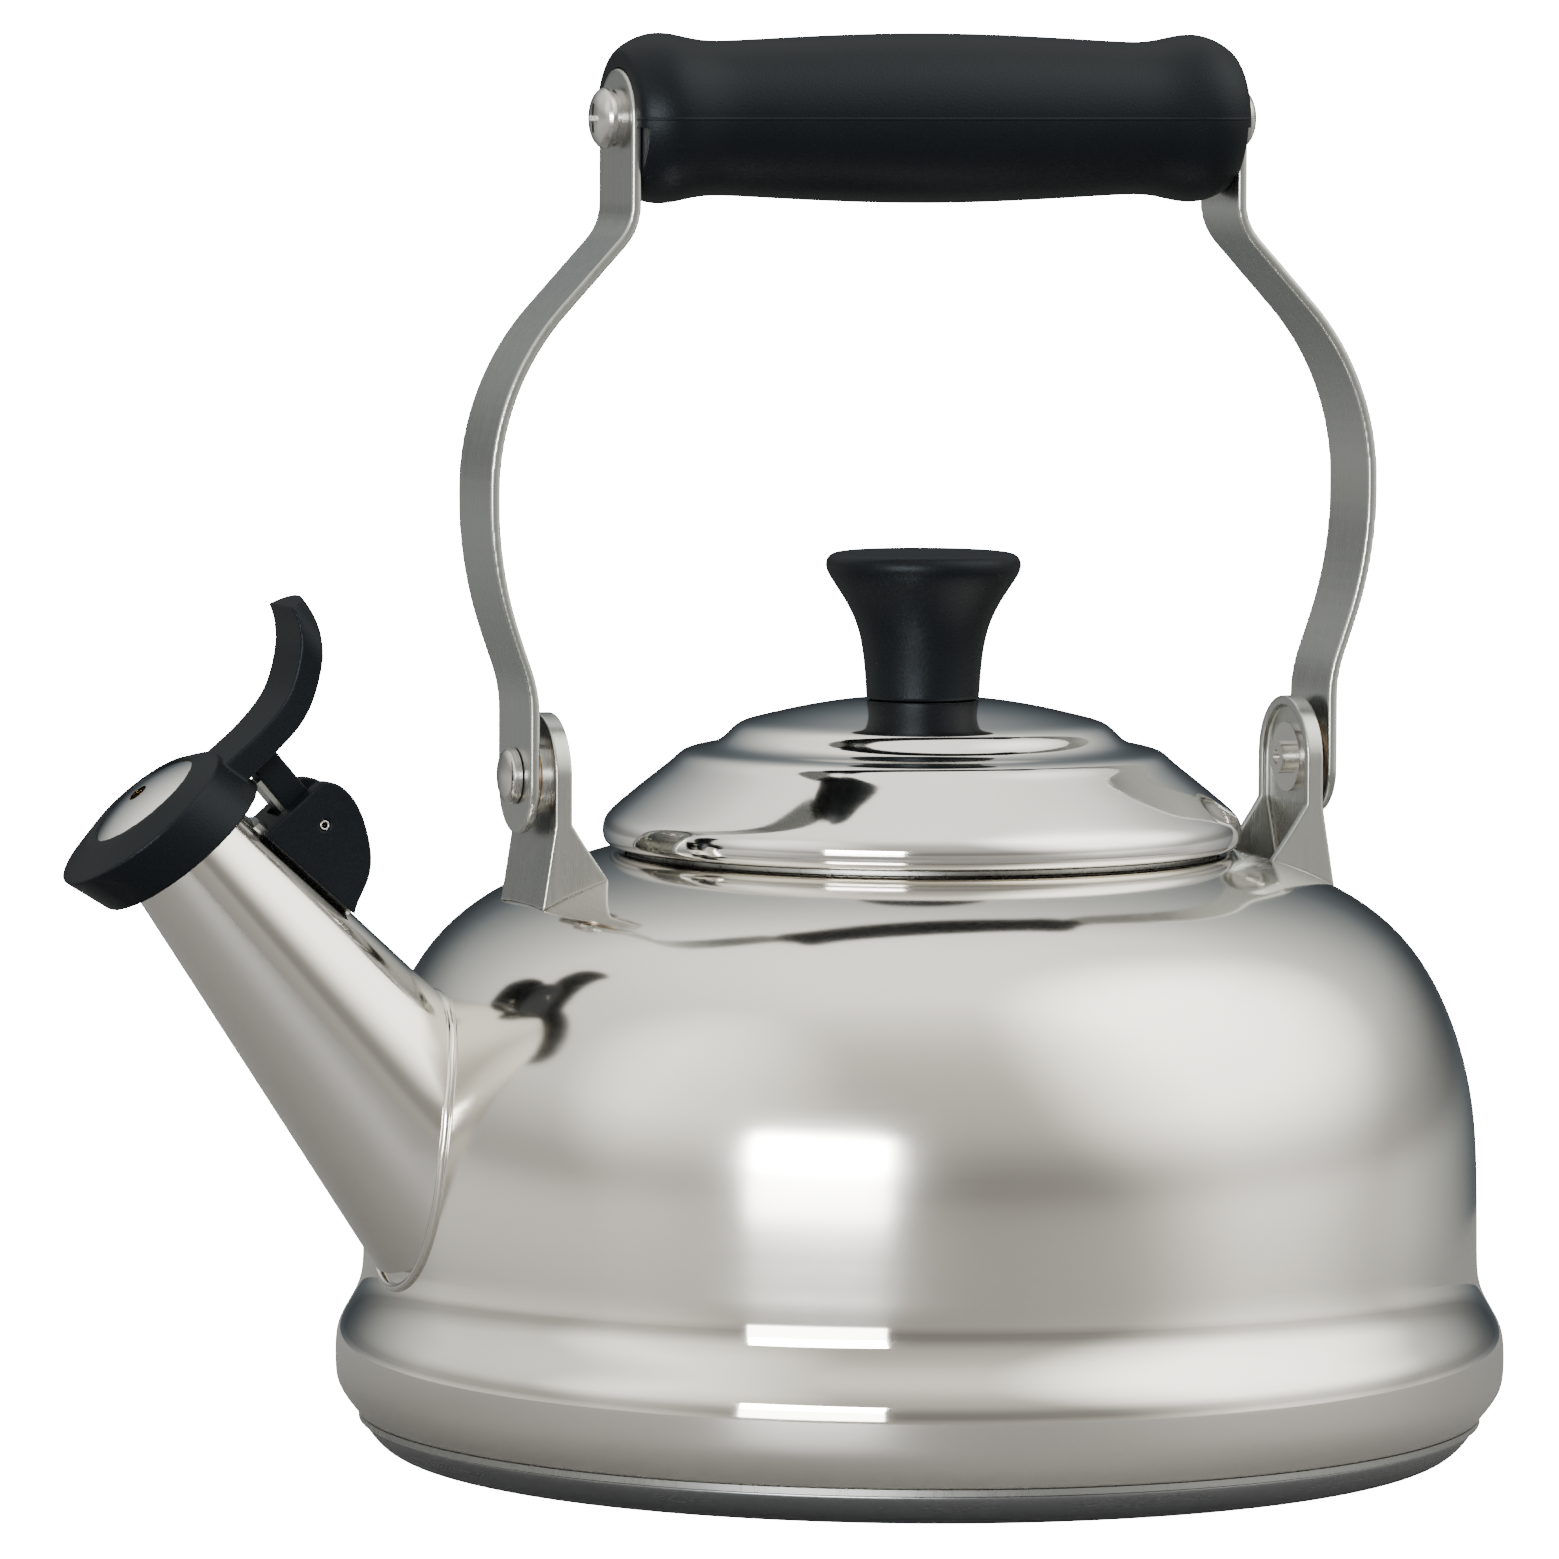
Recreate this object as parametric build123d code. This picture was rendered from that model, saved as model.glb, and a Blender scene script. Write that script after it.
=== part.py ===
from build123d import *
from math import atan2, cos, degrees, radians, sin, sqrt, tan
import os

# A stovetop whistling kettle, in millimetres.  +Z is up, the origin is on the body's axis at the
# underside of the base, and the spout points along -X.  The kettle is symmetric about the XZ plane.

# ---- driving dimensions ----------------------------------------------------------------------
FIT = 0.06                   # radial clearance of a pin or screw in its hole
GAP = 0.3                    # clearance between pieces that move past each other

WALL = 1.0                   # sheet of the body
BAND_R = 95.0                # widest ring, low on the body
WALL_R = BAND_R - 4.6        # upright wall above the ring
HEEL_R = WALL_R + 0.8        # foot of the wall, welded to the floor
BAND_LOW_Z = 11.0            # corners of the band
BAND_TOP_Z = 20.2
WAIST_Z = 27.2               # where the upright wall meets the band
SHOULDER_Z = 50.0            # where the upright wall starts to round over
MOUTH_Z = 97.0               # top of the dome around the mouth
NECK_R = 48.4                # bore of the neck that takes the lid
MOUTH_R = NECK_R + 2.6       # edge of the dome around the mouth
NECK_DEPTH = 7.0
WALL_BENDS = [3.0, 3.5, 5.0]

BASE_H = 5.4                 # capped base, from the hob to the pan's floor
CAP_SHEET = 0.7              # magnetic sheet under the base
CAP_BEND = 2.2
CORE_R = WALL_R - 4.4        # aluminium core

SPOUT_TILT = 40.6            # from the vertical
SPOUT_X = -WALL_R - 37.8     # centre of the tip
SPOUT_Z = 104.4
SPOUT_TIP_R = 10.0
SPOUT_TAPER = 7.0            # half angle of the cone
SPOUT_WALL = 0.9
SPOUT_REACH = -78.0          # the uncut cone runs this far into the body

LID_R = MOUTH_R + 0.8        # rolled rim
LID_SHEET = 0.9
LID_Z = MOUTH_Z + 1.2        # underside of the rim
LID_FLANGE_R = NECK_R - 0.5  # the rim is turned in to here
LID_STEP_R = LID_R - 11.9    # first crease
LID_STEP_Z = LID_Z + 14.1
LID_CROWN_R = LID_R - 21.3   # second crease
LID_CROWN_Z = LID_Z + 19.8
LID_TOP_Z = LID_Z + 23.8     # seat of the knob
LID_SEAT_R = 10.4
LID_BENDS = [1.7, 1.7, 2.0, 1.2, 1.6, 2.6]
SKIRT_DEPTH = 9.0
SKIRT_SHEET = 0.8
SKIRT_PLAY = 0.5             # skirt inside the neck

KNOB_FOOT_R = 9.2
KNOB_R = 15.7
KNOB_H = 24.0
KNOB_SCREW_R = 2.0
KNOB_INSERT_R = 3.6
KNOB_INSERT_H = 13.0
WASHER_T = 0.8

PIVOT_Z = 111.2
EAR_X = 66.7                 # outer face of the ear's head
EAR_W = 20.2
EAR_SHEET = 1.6
EAR_FLANGE = 2.8             # depth of the turned-in edge at the head
EAR_LEAN = 2.6               # how far the ear's foot stands out past its head
EAR_NECK_Z = PIVOT_Z - 7.2   # the ear leans and flares below this
EAR_FOOT = 12.2              # depth of the turned-in edge at the foot
RIVET_R = 2.5
RIVET_HEAD_R = 4.25
SPACER_T = 1.0
SPACER_R = 6.5
FRICTION_T = 0.65
FRICTION_R = 6.0
CLAMP_T = 0.6                # washer under the rivet's head
CLAMP_R = 4.5
INNER_WASHER_R = 5.7
PIVOT_PLAY = 0.2             # either side of the strap

STRAP_T = 1.6
STRAP_W = 15.8
STRAP_IN = EAR_X + SPACER_T + FRICTION_T + PIVOT_PLAY
STRAP_X = STRAP_IN + STRAP_T / 2
STRAP_OUT = STRAP_IN + STRAP_T
STRAP_BULGE_X = STRAP_X + 6.85
STRAP_TOE = 1.4              # centre of the strap's round foot, below the pivot
GRIP_Z = PIVOT_Z + 104.7
GRIP_HALF = STRAP_X - 16.55
GRIP_R = 13.75               # middle of the grip, and its two end beads
GRIP_WAIST_R = 12.2
GRIP_WAIST_X = GRIP_HALF - 14.3
GRIP_BEAD_X = GRIP_HALF - 7.8
GRIP_END_R = 11.0
GRIP_STEP = 1.4              # the end rim is cut back below this depth under the centre
GRIP_STRAP_X = GRIP_HALF + 0.5 - STRAP_T / 2
GRIP_OUT = GRIP_STRAP_X + STRAP_T / 2
ROD_R = 4.5                  # steel core of the grip
SCREW_R = 2.0
SCREW_HEAD_R = 4.85
SCREW_LENGTH = 16.0
FLAT_T = 0.6
FLAT_R = 4.6
SPRING_T = 0.8
SPLIT_R = 4.1                # split spring washer

WHISTLE_R = SPOUT_TIP_R + 5.6
WHISTLE_BACK = -3.8          # rim of the cap, along the spout from its tip
WHISTLE_EDGE = 4.2           # where its side meets the sloping front
WHISTLE_FRONT = 6.2          # front, around the disc
WHISTLE_SEAT_R = SPOUT_TIP_R + 0.4   # bore of the cap at the tip
WHISTLE_MOUTH_R = SPOUT_TIP_R + 2.0  # flared to here at its rim, so that it tips clear of the spout
WHISTLE_DROOP = 2.3          # the front edge hangs this far below the spout's axis
DISC_R = SPOUT_TIP_R - 0.3
DISC_LEDGE = 1.2             # the second disc and the spacer are this much smaller
DISC_SHEET = 0.5
DISC_BULGE = 1.7
DISC_HOLE_R = 1.65
LEVER_REACH = WHISTLE_R + 24.6
LEVER_W = 13.4
ARM_W = 5.4
ARM_T = 4.8
PIN_R = 0.9
PIN_ALONG = -15.4            # the hinge pin, along the spout from its tip
PIN_OUT = SPOUT_TIP_R + 8.4  # and out from the spout's axis
CHEEK_W = 13.4               # over both cheeks of the hinge
SLOT_W = 6.4
SLOT_FLOOR = PIN_OUT - 4.0   # bottom of the hinge's slot, out from the spout's axis
FORK_W = 3.0                 # gap in the arm's eye that holds the spring
SPRING_R = 2.0
SPRING_WIRE_R = 0.35
SPRING_LEG = 6.0
STRIP_T = 0.8
STRIP_LENGTH = 9.6
SADDLE_T = 0.8
SADDLE_W = 9.0
HINGE_RIVET_R = 1.2
HINGE_RIVET_HEAD_R = 2.2
RIVET_ALONG = -24.5

# ---- shared frames and helpers ---------------------------------------------------------------
SPOUT = Location(Plane(origin=(SPOUT_X, 0, SPOUT_Z),
                       x_dir=(cos(radians(SPOUT_TILT)), 0, sin(radians(SPOUT_TILT))),
                       z_dir=(-sin(radians(SPOUT_TILT)), 0, cos(radians(SPOUT_TILT)))))


def save(shape, node):
    export_step(shape, f"parts/{node}.step")


def profile(*edges):
    """A face in the XZ plane from outline edges drawn as (radius, height)."""
    return Plane.XZ * make_face(edges)


def turned(*edges):
    return revolve(profile(*edges), Axis.Z)


def tube(outer, inner, low, high):
    ring = Pos(0, 0, low) * extrude(Circle(outer), high - low)
    return ring - Pos(0, 0, low) * extrude(Circle(inner), high - low)


def rod(radius, low, high):
    return Pos(0, 0, low) * extrude(Circle(radius), high - low)


def on_side(shape, x=0.0, z=0.0):
    """Turn a piece built along +Z so that it points along +X, and set it at x, z."""
    return Pos(x, 0, z) * (Rot(0, 90, 0) * shape)


def both_sides(shape):
    return Compound(children=[shape, mirror(shape, Plane.YZ)])


def slab(face, width):
    """A face drawn in the XZ plane, given a width along Y, centred on Y = 0."""
    return extrude(face, width / 2, both=True)


# ---- body ------------------------------------------------------------------------------------
DOME_SHARES = [(0, 0), (0.089, 0.383), (0.228, 0.638), (0.396, 0.787), (0.614, 0.894), (1, 1)]
DOME = [(WALL_R - inward * (WALL_R - MOUTH_R), SHOULDER_Z + upward * (MOUTH_Z - SHOULDER_Z))
        for inward, upward in DOME_SHARES]


def sheet_lines(points, bends, thickness):
    """Outer line of a bent sheet and its inner line, which lies to the left of the way it runs."""
    steps = []
    for here, there in zip(points, points[1:]):
        run = sqrt((there[0] - here[0]) ** 2 + (there[1] - here[1]) ** 2)
        steps.append(((there[0] - here[0]) / run, (there[1] - here[1]) / run))
    inner = []
    inner_bends = []
    for index, point in enumerate(points):
        before = steps[max(index - 1, 0)]
        after = steps[min(index, len(steps) - 1)]
        share = thickness / (1 + before[0] * after[0] + before[1] * after[1])
        inner.append((point[0] - share * (before[1] + after[1]), point[1] + share * (before[0] + after[0])))
        if 0 < index < len(steps):
            left_turn = before[0] * after[1] - before[1] * after[0] > 0
            inner_bends.append(bends[index - 1] + (-thickness if left_turn else thickness))
    return FilletPolyline(*points, radius=bends), FilletPolyline(*inner, radius=inner_bends)


def dome_curve(inset):
    """The rounded shoulder, moved inward by inset along its own normal."""
    line = Spline(*DOME, tangents=[(0, 1), (-1, 0.28)])
    if inset == 0:
        return line
    points = []
    for share in (0.0, 0.2, 0.4, 0.55, 0.7, 0.82, 0.92, 1.0):
        spot = line @ share
        along = line % share
        points.append((spot.X - inset * along.Y, spot.Y + inset * along.X))
    return Spline(*points, tangents=[(0, 1), (-1, 0.28)])


def wall_points():
    """Corners of the side, from the heel over the band to the upright wall."""
    return [(HEEL_R, BASE_H + WALL), (BAND_R, BAND_LOW_Z), (BAND_R, BAND_TOP_Z), (WALL_R, WAIST_Z),
            (WALL_R, SHOULDER_Z)]


def body_envelope():
    """The body as a filled solid, which the spout and the ears are cut to."""
    wall, _ = sheet_lines(wall_points(), WALL_BENDS, WALL)
    curve = dome_curve(0)
    top = Line(curve @ 1, (0, MOUTH_Z))
    middle = Line((0, MOUTH_Z), (0, BASE_H + WALL))
    return turned(wall, curve, top, middle, Line(middle @ 1, wall @ 0))


def body_shell():
    """Dome, wall and band drawn from one sheet, with the neck turned down at the mouth."""
    wall, wall_inside = sheet_lines(wall_points(), WALL_BENDS, WALL)
    outer = dome_curve(0)
    inner = dome_curve(WALL)
    lip = Line(outer @ 1, (NECK_R + WALL + 0.9, MOUTH_Z + 0.5))
    roll = ThreePointArc(lip @ 1, (NECK_R + 0.45, MOUTH_Z + 0.75), (NECK_R, MOUTH_Z - 0.4))
    neck = Line(roll @ 1, (NECK_R, MOUTH_Z - NECK_DEPTH))
    foot = Line(neck @ 1, (NECK_R + WALL, MOUTH_Z - NECK_DEPTH))
    back = Line(foot @ 1, (NECK_R + WALL, MOUTH_Z - WALL + 0.2))
    under = Line(back @ 1, inner @ 1)
    heel = Line(wall_inside @ 0, wall @ 0)
    shell = turned(wall, outer, lip, roll, neck, foot, back, under, inner, wall_inside, heel)
    return shell - spout_cone(SPOUT_WALL, SPOUT_REACH, 0)


def base_floor():
    """Floor of the body: a disc whose edge is welded under the heel."""
    return rod(HEEL_R, BASE_H, BASE_H + WALL)


def base_core():
    return rod(CORE_R, CAP_SHEET, BASE_H)


def base_cap():
    heel = 5.6
    outside = FilletPolyline((0, 0), (WALL_R - heel, 0), (WALL_R, BASE_H - 0.3), radius=[CAP_BEND])
    rim = Line(outside @ 1, (WALL_R - 0.9, BASE_H))
    top = Line(rim @ 1, (CORE_R, BASE_H))
    bore = Line(top @ 1, (CORE_R, CAP_SHEET))
    floor = Line(bore @ 1, (0, CAP_SHEET))
    return turned(outside, rim, top, bore, floor, Line((0, CAP_SHEET), (0, 0)))


# ---- spout -----------------------------------------------------------------------------------
def spout_cone(shrink, low, high):
    """The spout's cone between two places along its axis, counted from the tip."""
    slope = tan(radians(SPOUT_TAPER))
    r_high = SPOUT_TIP_R - shrink - high * slope
    r_low = SPOUT_TIP_R - shrink - low * slope
    edges = [Line((0, low), (r_low, low)), Line((r_low, low), (r_high, high)),
             Line((r_high, high), (0, high)), Line((0, high), (0, low))]
    return SPOUT * turned(*edges)


def spout_tube():
    skin = spout_cone(0, SPOUT_REACH, 0) - body_envelope()
    bore = spout_cone(SPOUT_WALL, SPOUT_REACH - 1, 1)
    pieces = (skin - bore).solids()
    return max(pieces, key=lambda piece: piece.volume)


# ---- lid -------------------------------------------------------------------------------------

def lid_points():
    """Corners of the lid: turned-in flange, rolled rim, cone, step, riser and crown."""
    return [(LID_FLANGE_R, LID_Z), (LID_R, LID_Z), (LID_R, LID_Z + 4.6), (LID_STEP_R, LID_STEP_Z),
            (LID_STEP_R - 1.5, LID_STEP_Z + 1.5), (LID_CROWN_R + 3.2, LID_STEP_Z + 2.5),
            (LID_CROWN_R, LID_CROWN_Z), (LID_CROWN_R - 5.0, LID_CROWN_Z + 1.0)]


def lid_shell():
    outer, inner = sheet_lines(lid_points(), LID_BENDS, LID_SHEET)
    bulge = LID_TOP_Z - 1.3
    middle = (LID_CROWN_R - 5.0 + LID_SEAT_R) / 2 + 0.45
    crown = ThreePointArc(outer @ 1, (middle, bulge), (LID_SEAT_R, LID_TOP_Z))
    seat = Line(crown @ 1, (KNOB_SCREW_R + FIT, LID_TOP_Z))
    hole = Line(seat @ 1, (KNOB_SCREW_R + FIT, LID_TOP_Z - LID_SHEET))
    under = Line(hole @ 1, (LID_SEAT_R, LID_TOP_Z - LID_SHEET))
    inner_crown = ThreePointArc(under @ 1, (middle, bulge - LID_SHEET), inner @ 1)
    rim = Line(inner @ 0, outer @ 0)
    return turned(outer, crown, seat, hole, under, inner_crown, inner, rim)


def lid_skirt():
    """Sleeve welded inside the rim's flange, which drops into the neck."""
    sleeve_r = NECK_R - SKIRT_PLAY
    return tube(sleeve_r, sleeve_r - SKIRT_SHEET, MOUTH_Z - SKIRT_DEPTH, LID_Z + LID_SHEET)


def knob():
    foot_z = LID_TOP_Z
    top_z = LID_TOP_Z + KNOB_H
    side = Spline((KNOB_FOOT_R, foot_z), (KNOB_FOOT_R + 0.75, foot_z + 8.6), (KNOB_FOOT_R + 1.7, foot_z + 12.8),
                  (KNOB_FOOT_R + 3.6, foot_z + 16.2), (KNOB_R - 0.4, foot_z + 19.8),
                  tangents=[(0.05, 1), (0.75, 1)])
    lip = ThreePointArc(side @ 1, (KNOB_R - 0.1, foot_z + 21.6), (KNOB_R - 3.0, top_z))
    dish = Spline(lip @ 1, (KNOB_R / 2, top_z - 0.5), (0, top_z - 0.8), tangents=[(-1, 0), (-1, 0)])
    middle = Line(dish @ 1, (0, foot_z))
    foot = Line((0, foot_z), side @ 0)
    body = turned(side, lip, dish, middle, foot)
    return body - rod(KNOB_INSERT_R, foot_z, foot_z + KNOB_INSERT_H)


def knob_insert():
    sleeve = rod(KNOB_INSERT_R, LID_TOP_Z, LID_TOP_Z + KNOB_INSERT_H)
    return sleeve - rod(KNOB_SCREW_R, LID_TOP_Z, LID_TOP_Z + KNOB_INSERT_H - 2)


def knob_washer():
    top = LID_TOP_Z - LID_SHEET
    return tube(6.5, KNOB_SCREW_R + FIT, top - WASHER_T, top)


def pan_screw(radius, head_r, head_h, length):
    """A pan-head screw along +Z: head above zero, shank below, cross recess in the head."""
    dome = turned(Line((0, 0), (head_r, 0)), Line((head_r, 0), (head_r, head_h * 0.3)),
                  Spline((head_r, head_h * 0.3), (head_r * 0.7, head_h * 0.82), (0, head_h),
                         tangents=[(-0.4, 1), (-1, 0)]),
                  Line((0, head_h), (0, 0)))
    shank = rod(radius, -length, 0)
    blade = Box(head_r * 0.95, 0.9, 1.3, align=(Align.CENTER, Align.CENTER, Align.MIN))
    recess = Pos(0, 0, head_h - 1.3) * (blade + Rot(0, 0, 90) * blade)
    return dome + shank - recess


def knob_screw():
    seat = LID_TOP_Z - LID_SHEET - WASHER_T
    return Pos(0, 0, seat) * (Rot(180, 0, 0) * pan_screw(KNOB_SCREW_R, 4.2, 2.4, LID_SHEET + WASHER_T + 9.5))


# ---- ears and pivots -------------------------------------------------------------------------
def ear_plate(width):
    """Outline of the ear seen along X: upright sides and a round head."""
    low = 60.0
    plate = Pos(0, (PIVOT_Z + low) / 2) * Rectangle(width, PIVOT_Z - low) + Pos(0, PIVOT_Z) * Circle(width / 2)
    return extrude(Plane.YZ * plate, 2 * EAR_X)


def ear_side(inset):
    """Side view of the ear: the web stands outward below the neck, and the edge flares in."""
    foot_z = 80.0
    lean = EAR_LEAN * (EAR_NECK_Z - foot_z) / (EAR_NECK_Z - 88.0)
    outer = [(EAR_X - inset, PIVOT_Z + EAR_W), (EAR_X - inset, EAR_NECK_Z), (EAR_X + lean - inset, foot_z)]
    web = Polyline(*outer)
    toe_x = EAR_X + EAR_LEAN - EAR_FOOT
    toe_z = 94.2
    under = Polyline(outer[2], (toe_x - 2.0, foot_z), (toe_x - 2.0, toe_z - 2.0), (toe_x, toe_z))
    neck = (EAR_X - EAR_FLANGE, EAR_NECK_Z)
    flare = ThreePointArc((toe_x, toe_z), (EAR_X - EAR_FLANGE - 3.0, EAR_NECK_Z - 4.6), neck)
    rise = Polyline(neck, (EAR_X - EAR_FLANGE, PIVOT_Z + EAR_W), outer[0])
    return profile(web, under, flare, rise)


def ear_right():
    shell = slab(ear_side(0), EAR_W * 2) & ear_plate(EAR_W)
    inside = slab(ear_side(EAR_SHEET), EAR_W * 2)
    hollow = inside + Pos(-EAR_FLANGE, 0, 0) * inside + Pos(-EAR_FOOT, 0, 0) * inside
    hollow = hollow & ear_plate(EAR_W - 2 * EAR_SHEET)
    hole = on_side(rod(RIVET_R + FIT, 0, EAR_X * 2), 0, PIVOT_Z)
    ear = shell - hollow - hole - body_envelope()
    return max(ear.solids(), key=lambda piece: piece.volume)


def pivot_rivet():
    head_z = STRAP_OUT + PIVOT_PLAY + CLAMP_T
    tail_z = EAR_X - EAR_SHEET - WASHER_T
    head = turned(Line((0, head_z), (RIVET_HEAD_R, head_z)),
                  Line((RIVET_HEAD_R, head_z), (RIVET_HEAD_R, head_z + 0.5)),
                  Spline((RIVET_HEAD_R, head_z + 0.5), (RIVET_HEAD_R * 0.6, head_z + 1.25), (0, head_z + 1.5),
                         tangents=[(-0.6, 1), (-1, 0)]),
                  Line((0, head_z + 1.5), (0, head_z)))
    shank = rod(RIVET_R, tail_z - 0.1, head_z)
    tail = rod(RIVET_R + 0.25, tail_z - 1.6, tail_z) - rod(1.2, tail_z - 1.6, tail_z - 1.0)
    return on_side(head + shank + tail, 0, PIVOT_Z)


def pivot_ring(radius, low, high):
    return on_side(tube(radius, RIVET_R + FIT, low, high), 0, PIVOT_Z)


# ---- handle ----------------------------------------------------------------------------------
def strap_line(shift):
    """Middle line of the strap in the XZ plane, moved outward by shift."""
    lean = radians(19.6)
    fall = radians(43.0)
    low = (STRAP_X + shift, PIVOT_Z - 12)
    knee = (STRAP_X + shift, PIVOT_Z + 13.7 + shift * tan(lean / 2))
    belly_x = STRAP_BULGE_X + shift
    belly = (belly_x, knee[1] + (belly_x - knee[0]) / tan(lean))
    top_x = GRIP_STRAP_X + shift
    neck_z = GRIP_Z - 17.2 + shift * tan(fall / 2)
    shoulder = (belly_x, neck_z - (belly_x - top_x) / tan(fall))
    end = (top_x, GRIP_Z + STRAP_W)
    radii = [22.0 - shift, 64.0 + shift, 42.0 + shift, 9.0 - shift]
    return FilletPolyline(low, knee, belly, shoulder, (top_x, neck_z), end, radius=radii)


def strap_right():
    outer = strap_line(STRAP_T / 2)
    inner = strap_line(-STRAP_T / 2)
    band = slab(profile(outer, Line(outer @ 1, inner @ 1), inner, Line(inner @ 0, outer @ 0)), STRAP_W)
    low = PIVOT_Z - STRAP_TOE
    ends = Pos(0, (low + GRIP_Z) / 2) * Rectangle(STRAP_W, GRIP_Z - low)
    ends = ends + Pos(0, low) * Circle(STRAP_W / 2) + Pos(0, GRIP_Z) * Circle(STRAP_W / 2)
    band = band & extrude(Plane.YZ * ends, 2 * STRAP_BULGE_X)
    band = band - on_side(rod(RIVET_R + FIT, 0, 2 * STRAP_X), 0, PIVOT_Z)
    return band - on_side(rod(SCREW_R + FIT, 0, 2 * STRAP_X), 0, GRIP_Z)


def handle_grip():
    """Moulded grip, turned about X, with a pocket at each end for the strap."""
    barrel = ThreePointArc((-GRIP_WAIST_X, GRIP_WAIST_R), (0, GRIP_R), (GRIP_WAIST_X, GRIP_WAIST_R))
    bead = Spline((GRIP_WAIST_X, GRIP_WAIST_R), (GRIP_BEAD_X, GRIP_R), (GRIP_HALF - 1.2, GRIP_END_R + 0.5),
                  tangents=[(1, 0.75), (1, -0.42)])
    edge = ThreePointArc(bead @ 1, (GRIP_HALF - 0.3, GRIP_END_R), (GRIP_HALF, GRIP_END_R - 0.9))
    end = Line(edge @ 1, (GRIP_HALF, 0))
    half = [bead, edge, end]
    other = [mirror(piece, Plane.YZ) for piece in half]
    face = make_face([barrel, *half, *other, Line((-GRIP_HALF, 0), (GRIP_HALF, 0))])
    solid = Pos(0, 0, GRIP_Z) * revolve(Plane.XZ * face, Axis.X)
    pocket_w = STRAP_W + 0.4
    pocket_x = GRIP_STRAP_X - STRAP_T / 2
    nest = Pos(0, GRIP_Z) * Circle(pocket_w / 2) + Pos(0, GRIP_Z - GRIP_R / 2) * Rectangle(pocket_w, GRIP_R)
    cut = extrude(Plane.YZ * nest, 10)
    below = Pos(pocket_x, 0, GRIP_Z - GRIP_STEP) * Box(10, 2 * GRIP_R + 2, 2 * GRIP_R,
                                                       align=(Align.MIN, Align.CENTER, Align.MAX))
    right = Pos(pocket_x, 0, 0) * cut + below
    solid = solid - right - mirror(right, Plane.YZ)
    return solid - on_side(rod(ROD_R, -GRIP_HALF, GRIP_HALF), 0, GRIP_Z)


def grip_core():
    half = GRIP_STRAP_X - STRAP_T / 2
    core = rod(ROD_R, -half, half)
    depth = half - SCREW_LENGTH
    core = core - rod(SCREW_R, depth, half) - rod(SCREW_R, -half, -depth)
    return on_side(core, 0, GRIP_Z)


def spring_washer():
    """Split lock washer."""
    ring = tube(SPLIT_R, SCREW_R + FIT, 0, SPRING_T)
    return ring - Rot(0, 0, 35) * Pos(3.2, 0, 0) * Box(4, 0.7, 3)


def grip_flat_washer():
    return on_side(tube(FLAT_R, SCREW_R + FIT, 0, FLAT_T), GRIP_OUT, GRIP_Z)


def grip_screw():
    return on_side(pan_screw(SCREW_R, SCREW_HEAD_R, 2.5, SCREW_LENGTH), GRIP_OUT + FLAT_T + SPRING_T, GRIP_Z)


# ---- whistle and its hinge, drawn along the spout from the tip ---------------------------------
def local_slab(face, width):
    return SPOUT * slab(Plane.XZ * face, width)


def whistle_ring():
    """Slanting ring: round at its rim, with its front edge drooping and a sloping front face."""
    rim = Pos(0, 0, WHISTLE_BACK) * Circle(WHISTLE_R - 0.3)
    edge = Pos(-WHISTLE_DROOP, 0, WHISTLE_EDGE) * Circle(WHISTLE_R)
    front = Pos(-WHISTLE_DROOP * 0.3, 0, WHISTLE_FRONT) * Circle(DISC_R + 0.9)
    solid = loft([rim, edge], ruled=True) + loft([edge, front], ruled=True)
    flare = (WHISTLE_MOUTH_R - WHISTLE_SEAT_R) / (GAP - WHISTLE_BACK)
    low = WHISTLE_BACK - 1
    low_r = WHISTLE_MOUTH_R + flare
    bore = Polyline((0, low), (low_r, low), (WHISTLE_SEAT_R, GAP), (0, GAP), (0, low))
    solid = solid - turned(bore)
    solid = solid - rod(DISC_R - DISC_LEDGE, 0, WHISTLE_FRONT + 1)
    return solid - rod(DISC_R, WHISTLE_FRONT - 1.0, WHISTLE_FRONT + 1)


def whistle_cap():
    """One moulding: the ring over the tip, the thumb lever and the arm to the pin."""
    solid = SPOUT * whistle_ring() + thumb_lever() + hinge_arm()
    return max(solid.solids(), key=lambda piece: piece.volume)


def thumb_lever():
    """Curved lever: leaves the ring square to the spout's axis and sweeps forward to a round tip."""
    root_x = WHISTLE_R - 4.5
    back = Spline((root_x, -1.6), (root_x + 9.5, -1.3), (root_x + 14.9, -0.7), (root_x + 21.9, 2.8),
                  (root_x + 27.2, 8.2), (LEVER_REACH, 13.6), tangents=[(1, 0), (0.15, 1)])
    tip = Line(back @ 1, (LEVER_REACH - 3.4, 14.2))
    front = Spline(tip @ 1, (root_x + 23.7, 9.9), (root_x + 19.9, 6.4), (root_x + 15.3, 4.0),
                   (root_x + 8.7, 3.0), (root_x, 3.0), tangents=[(-0.25, -1), (-1, 0)])
    root = Line(front @ 1, back @ 0)
    lever = local_slab(make_face([back, tip, front, root]), LEVER_W)
    square = LEVER_REACH - 6.0
    plan = Pos(square / 2, 0) * Rectangle(square, LEVER_W)
    plan = plan + Pos(square, 0) * Ellipse(LEVER_REACH - square, LEVER_W / 2)
    return lever & (SPOUT * Pos(0, 0, -10) * extrude(plan, 40))


def pin_hole(length):
    return SPOUT * Pos(PIN_OUT, 0, PIN_ALONG) * Rot(90, 0, 0) * Cylinder(PIN_R + FIT, length)


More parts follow.
